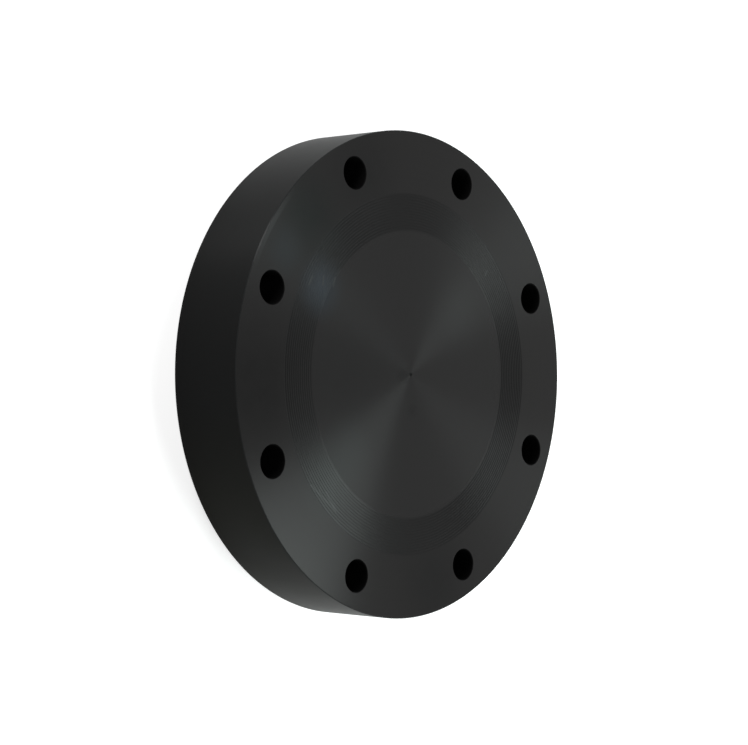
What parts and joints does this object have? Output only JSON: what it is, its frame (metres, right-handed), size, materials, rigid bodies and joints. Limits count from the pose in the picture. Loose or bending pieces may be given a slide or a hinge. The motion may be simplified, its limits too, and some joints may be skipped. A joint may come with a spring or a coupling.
{
  "type": "blind flange",
  "caption": "Thick solid round flange with no bore: a turned black plastic disc that bolts over a pipe's end, with a serrated gasket band on its front face.",
  "frame": {"origin": "centre of the flat back face, which the part rests on", "axes": "+Z along the disc's axis, out of the turned front face; the bolt holes straddle +X and +Y"},
  "size_m": [0.343, 0.343, 0.058],
  "materials": {
    "turned_plastic": "satin"
  },
  "bodies": {
    "root": {"blind_flange": "turned_plastic"}
  },
  "joints": []
}
